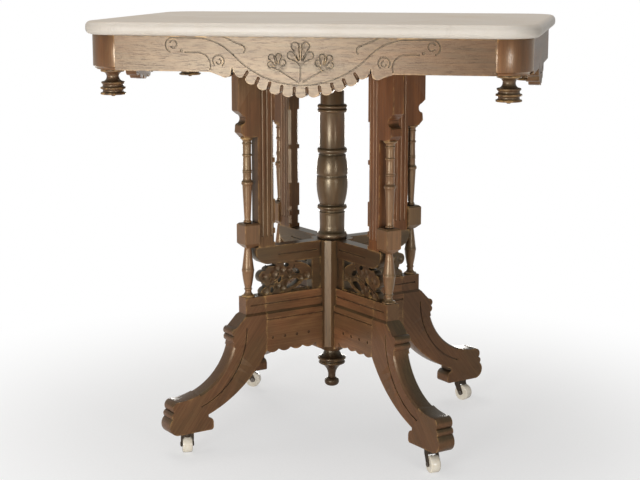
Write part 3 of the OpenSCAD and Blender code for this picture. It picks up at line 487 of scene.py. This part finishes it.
class TableLook(bpy.types.PropertyGroup):
    """Colours and wear of the table's finishes."""

    walnut_dark: colour_setting(
        "Walnut, dark", "Darkest grain of the walnut", linear(48, 34, 25))
    walnut_middle: colour_setting(
        "Walnut, middle", "Body colour of the walnut", linear(106, 74, 52))
    walnut_light: colour_setting(
        "Walnut, light", "Lightest grain of the walnut", linear(154, 113, 79))
    walnut_olive: colour_setting(
        "Olive cast", "Tint that turns the walnut's red towards olive", (0.7, 0.93, 0.86))
    walnut_russet: colour_setting(
        "Russet cast", "Tint of the redder boards", (1.0, 0.78, 0.62))
    walnut_pale: colour_setting(
        "Walnut, faded", "Walnut that daylight has faded", linear(158, 124, 90))
    # Colour of the rubbed edges, which is also a painted highlight on them
    walnut_rubbed_highlight: colour_setting(
        "Walnut, rubbed", "Rubbed edges of the walnut", linear(196, 156, 100))
    shellac_tint: colour_setting(
        "Shellac", "Amber tint of the old shellac", (1.0, 0.85, 0.58))
    # Tint multiplied into the wood's upward faces, making them darker and more olive
    upward_tint: colour_setting(
        "Dust", "Tint of the wood's upward faces, under old dust and wax", (0.45, 0.62, 0.66))
    # Colour of the old wax and dust in the hollows, also used for the painted shade there and in
    # the sheltered wood
    grime_and_shade_colour: colour_setting(
        "Grime", "Old wax and dust in the hollows", linear(22, 20, 16))
    marble_colour: colour_setting(
        "Marble", "Ground colour of the marble", linear(206, 198, 187))
    marble_cloud: colour_setting(
        "Marble cloud", "Grey clouds in the marble", linear(194, 182, 167))
    marble_vein: colour_setting(
        "Marble vein", "Fine veins of the marble", linear(168, 156, 142))
    marble_stain: colour_setting(
        "Stain", "Old stains of the marble and dirt on the wheels", linear(182, 158, 126))
    porcelain_colour: colour_setting(
        "Porcelain", "Glazed wheels", linear(232, 224, 208))
    porcelain_shade: colour_setting(
        "Porcelain shade", "Yellowed glaze", linear(210, 192, 156))
    iron_colour: colour_setting(
        "Iron", "Horns of the casters", linear(74, 64, 54))
    brass_colour: colour_setting(
        "Brass", "Sockets of the casters", linear(120, 96, 58))
    olive: amount_setting("Olive amount", "How strong the olive cast is", 0.6)
    # How strongly the upward faces are made darker and more olive
    dust: amount_setting("Dust amount", "How dull the upward faces are", 0.9)
    # How dark the hollows and joints are painted: old wax and dust, and painted shade
    grime_and_shade: amount_setting("Grime amount", "How dark the hollows are", 0.85)
    # Strength of the painted shade in the sheltered wood
    depth: amount_setting("Depth", "How dark the sheltered wood is", 0.62)
    # How much the edges are rubbed lighter, which also paints a highlight on them
    edge_wear_and_highlight: amount_setting("Edge wear", "How much the edges are rubbed", 0.75)
    walnut_roughness: amount_setting("Walnut roughness", "Roughness of the shellac", 0.32)


class TableEdges(bpy.types.PropertyGroup):
    """How far the sharp edges are eased."""

    wood: FloatProperty(name="Wood", description="Easing of the wood's and the marble's edges",
                        default=0.0007, min=0, max=0.003, unit="LENGTH")
    metal: FloatProperty(name="Metal", description="Easing of the casters' edges",
                         default=0.0003, min=0, max=0.002, unit="LENGTH")


class TableStage(bpy.types.PropertyGroup):
    """Camera, lamps and the even light."""

    camera_place: FloatVectorProperty(
        name="Camera", description="Place of the camera",
        subtype="TRANSLATION", unit="LENGTH", default=(0.51593, -2.58415, 0.84916))
    camera_yaw: FloatProperty(
        name="Yaw", description="Turn of the camera to the left", unit="ROTATION", default=0.2054)
    camera_pitch: FloatProperty(
        name="Pitch", description="Tilt of the camera down", unit="ROTATION", default=0.1872)
    camera_lens: FloatProperty(
        name="Lens", description="Focal length of the camera", unit="CAMERA", default=82.70)
    window_power: power_setting("Window", "Power of the panel at the front left", 45.0)
    side_power: power_setting("Side", "Power of the panel at the right", 14.0)
    back_power: power_setting("Back", "Power of the panel behind the table", 24.0)
    top_power: power_setting("Top", "Power of the panel overhead", 50.0)
    sky_level: FloatProperty(
        name="Sky", description="Strength of the even light from all round", default=0.2)


def look():
    """The settings of the table's finishes."""
    return bpy.context.scene.table_look


# Operators

class TABLE_OT_marble(bpy.types.Operator):
    """Finish the marble slab"""

    bl_idname = "table.marble"
    bl_label = "Marble"

    def execute(self, context):
        dress(nodes_of("marble_top"), marble("marble"))
        return {"FINISHED"}


class TABLE_OT_apron(bpy.types.Operator):
    """Finish the apron boards, the corner blocks and the bearers"""

    bl_idname = "table.apron"
    bl_label = "Apron"

    def execute(self, context):
        front = walnut("walnut_front", (1, 0, 0.02), 1.0, shade=0.7, green=0.3,
                       coat=0.28, sheen=0.65, mirror=0.28, flowers=True)
        dress(nodes_of("apron_front"), front)
        dress(nodes_of("apron_back"), walnut("walnut_back", (1, 0, -0.02), 2.0))
        dress(nodes_of("apron_left"), walnut("walnut_left", (0, 1, 0.02), 3.0))
        dress(nodes_of("apron_right"), walnut("walnut_right", (0, 1, -0.02), 4.0))
        walnut_corners("corner_block", "walnut_corner", UPRIGHT, 5.0, shade=0.82, green=0.2,
                       coat=1.0, sheen=1.0, mirror=0.26)
        dress(nodes_of("bearer_left", "bearer_right"),
              walnut("walnut_bearer", (0, 1, 0), 9.0, shade=1.1, pale=0.3))
        dress(nodes_of("bearer_centre"),
              walnut("walnut_bearer_centre", (1, 0, 0), 10.0, shade=1.1, pale=0.3))
        return {"FINISHED"}


class TABLE_OT_turnings(bpy.types.Operator):
    """Finish the column, the spindles, the drops and the finial"""

    bl_idname = "table.turnings"
    bl_label = "Turnings"

    def execute(self, context):
        dress(nodes_of("column"), walnut("walnut_column", TURNED, 11.0, shade=0.66, green=0.9,
                                         coat=0.3, sheen=1.0))
        dress(nodes_of("finial"), walnut("walnut_finial", TURNED, 11.5, shade=0.35,
                                         coat=0.2, sheen=0.7))
        walnut_corners("spindle", "walnut_spindle", (0.01, 0, 1), 12.0, shade=1.1, pale=0.1,
                       green=0.9, coat=0.2, sheen=1.0)
        walnut_corners("corner_drop", "walnut_drop", (0.1, 0, 1), 16.0, shade=0.7,
                       green=0.9, coat=0.2, sheen=1.0)
        return {"FINISHED"}


class TABLE_OT_wings(bpy.types.Operator):
    """Finish the post, the uprights, the pierced panels and the lower rails"""

    bl_idname = "table.wings"
    bl_label = "Wings"

    def execute(self, context):
        dress(nodes_of("centre_post"), walnut("walnut_post", TURNED, 20.0, shade=0.92, coat=0.4))
        for index, corner in enumerate(CORNERS):
            # The uprights at the right are redder than those at the left
            green = 0.0 if corner.endswith("r") else 0.7
            dress(nodes_of("upright_" + corner),
                  walnut("walnut_upright_" + corner, UPRIGHT, 21.0 + index, green=green))
        walnut_corners("fret_panel", "walnut_fret", outward, 25.0, shade=0.5,
                       coat=0.25, sheen=1.0)
        walnut_corners("lower_rail", "walnut_rail", outward, 29.0, shade=1.12, green=0.6)
        return {"FINISHED"}


class TABLE_OT_legs(bpy.types.Operator):
    """Finish the sabre legs"""

    bl_idname = "table.legs"
    bl_label = "Legs"

    def execute(self, context):
        walnut_corners("leg", "walnut_leg", lambda corner: outward(corner, LEG_FALL), 33.0,
                       shade=0.94, green=0.7, figure=0.35)
        return {"FINISHED"}


class TABLE_OT_casters(bpy.types.Operator):
    """Finish the sockets, horns, axles and porcelain wheels"""

    bl_idname = "table.casters"
    bl_label = "Casters"

    def execute(self, context):
        brass = metal("socket_brass", look().brass_colour, linear(*BRASS_TARNISH_RGB), 0.42, 1.0)
        iron = metal("horn_iron", look().iron_colour, linear(*IRON_RUST_RGB), 0.5, 2.0)
        steel = metal("axle_steel", linear(*STEEL_RGB), linear(*STEEL_RUST_RGB), 0.4, 3.0)
        dress(nodes_of("caster_socket_"), brass)
        dress(nodes_of("caster_horn_"), iron)
        dress(nodes_of("caster_axle_"), steel)
        dress(nodes_of("caster_wheel_"), porcelain("wheel_porcelain"))
        return {"FINISHED"}


class TABLE_OT_edges(bpy.types.Operator):
    """Ease the sharp edges of the marble, the wood and the metal"""

    bl_idname = "table.edges"
    bl_label = "Eased edges"

    def execute(self, context):
        edges = context.scene.table_edges
        for name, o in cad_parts.items():
            weld = o.modifiers.new("Weld", "WELD")
            weld.merge_threshold = WELD_DISTANCE
            bevel = o.modifiers.new("Eased", "BEVEL")
            bevel.width = edges.metal if name.startswith("caster") else edges.wood
            bevel.segments = 2
            bevel.limit_method = "ANGLE"
            bevel.angle_limit = math.radians(SHARP_ANGLE)
        return {"FINISHED"}


class TABLE_OT_stage(bpy.types.Operator):
    """Set up the camera, the lamps and the floor"""

    bl_idname = "table.stage"
    bl_label = "Stage"

    def lamp(self, name, place, width, height, power):
        data = bpy.data.lights.new(name, "AREA")
        data.shape = "RECTANGLE"
        data.size = width
        data.size_y = height
        data.energy = power
        lamp = add_object(name, data)
        lamp.location = place
        aim = Vector(LAMP_AIM) - Vector(place)
        lamp.rotation_euler = aim.to_track_quat("-Z", "Y").to_euler()

    def camera(self, stage):
        data = bpy.data.cameras.new("camera")
        data.lens = stage.camera_lens
        data.sensor_width = SENSOR_WIDTH
        data.clip_start, data.clip_end = SIGHT
        camera = add_object("camera", data)
        camera.location = stage.camera_place
        camera.rotation_euler = (math.pi / 2 - stage.camera_pitch, 0.0, stage.camera_yaw)
        bpy.context.scene.camera = camera

    def floor(self):
        mesh = bpy.data.meshes.new("floor")
        corners = [(x * FLOOR_HALF, y * FLOOR_HALF, 0)
                   for x, y in ((-1, -1), (1, -1), (1, 1), (-1, 1))]
        mesh.from_pydata(corners, [], [(0, 1, 2, 3)])
        floor = add_object("floor", mesh)
        paint = Paint("pale_floor")
        spot = paint.place()
        reach = paint.node("ShaderNodeVectorMath", {"operation": "LENGTH"}, {0: spot}, out="Value")
        grit = paint.noise(spot, 240.0, detail=2.0)
        colour = paint.ramp(grit, [(0.3, linear(238, 237, 235)), (0.7, linear(244, 243, 241))])
        matte = paint.node("ShaderNodeBsdfDiffuse", None, {"Color": colour})
        white = paint.node("ShaderNodeEmission", None, {"Color": WHITE, "Strength": 1.0})
        fading = reach.smooth(*FLOOR_FADE) * (1.0 - FLOOR_WHITE) + FLOOR_WHITE
        mixed = paint.node("ShaderNodeMixShader", None,
                           {0: fading * paint.background_mask(), 1: matte, 2: white})
        paint.node("ShaderNodeOutputMaterial", None, {"Surface": mixed})
        mesh.materials.append(paint.material)

    def sky(self, stage):
        paint = Paint("studio", world=True)
        even = paint.node("ShaderNodeBackground", None,
                          {"Color": WHITE, "Strength": stage.sky_level})
        white = paint.node("ShaderNodeBackground", None, {"Color": WHITE, "Strength": 1.0})
        mixed = paint.node("ShaderNodeMixShader", None,
                           {0: paint.background_mask(), 1: even, 2: white})
        paint.node("ShaderNodeOutputWorld", None, {"Surface": mixed})
        bpy.context.scene.world = paint.material

    def execute(self, context):
        stage = context.scene.table_stage
        self.camera(stage)
        self.floor()
        self.sky(stage)
        for name, (place, width, height) in LAMPS.items():
            self.lamp(name, place, width, height, getattr(stage, name + "_power"))
        context.scene.view_settings.view_transform = "Standard"
        return {"FINISHED"}


STEPS = (
    TABLE_OT_marble,
    TABLE_OT_apron,
    TABLE_OT_turnings,
    TABLE_OT_wings,
    TABLE_OT_legs,
    TABLE_OT_casters,
    TABLE_OT_edges,
    TABLE_OT_stage,
)


class TABLE_PT_panel(bpy.types.Panel):
    """The steps of the table's finish, in order"""

    bl_idname = "TABLE_PT_panel"
    bl_label = "Parlor table"
    bl_space_type = "VIEW_3D"
    bl_region_type = "UI"
    bl_category = "Parlor table"

    def draw(self, context):
        for step in STEPS:
            self.layout.operator(step.bl_idname)


SETTINGS = {"table_look": TableLook, "table_edges": TableEdges, "table_stage": TableStage}


def register():
    for group in (*SETTINGS.values(), *STEPS, TABLE_PT_panel):
        bpy.utils.register_class(group)
    for name, group in SETTINGS.items():
        setattr(bpy.types.Scene, name, PointerProperty(type=group))


def unregister():
    for name in SETTINGS:
        delattr(bpy.types.Scene, name)
    for group in reversed((*SETTINGS.values(), *STEPS, TABLE_PT_panel)):
        bpy.utils.unregister_class(group)


def main():
    register()
    for step in STEPS:
        group, name = step.bl_idname.split(".")
        getattr(getattr(bpy.ops, group), name)()


if __name__ == "__main__":
    main()
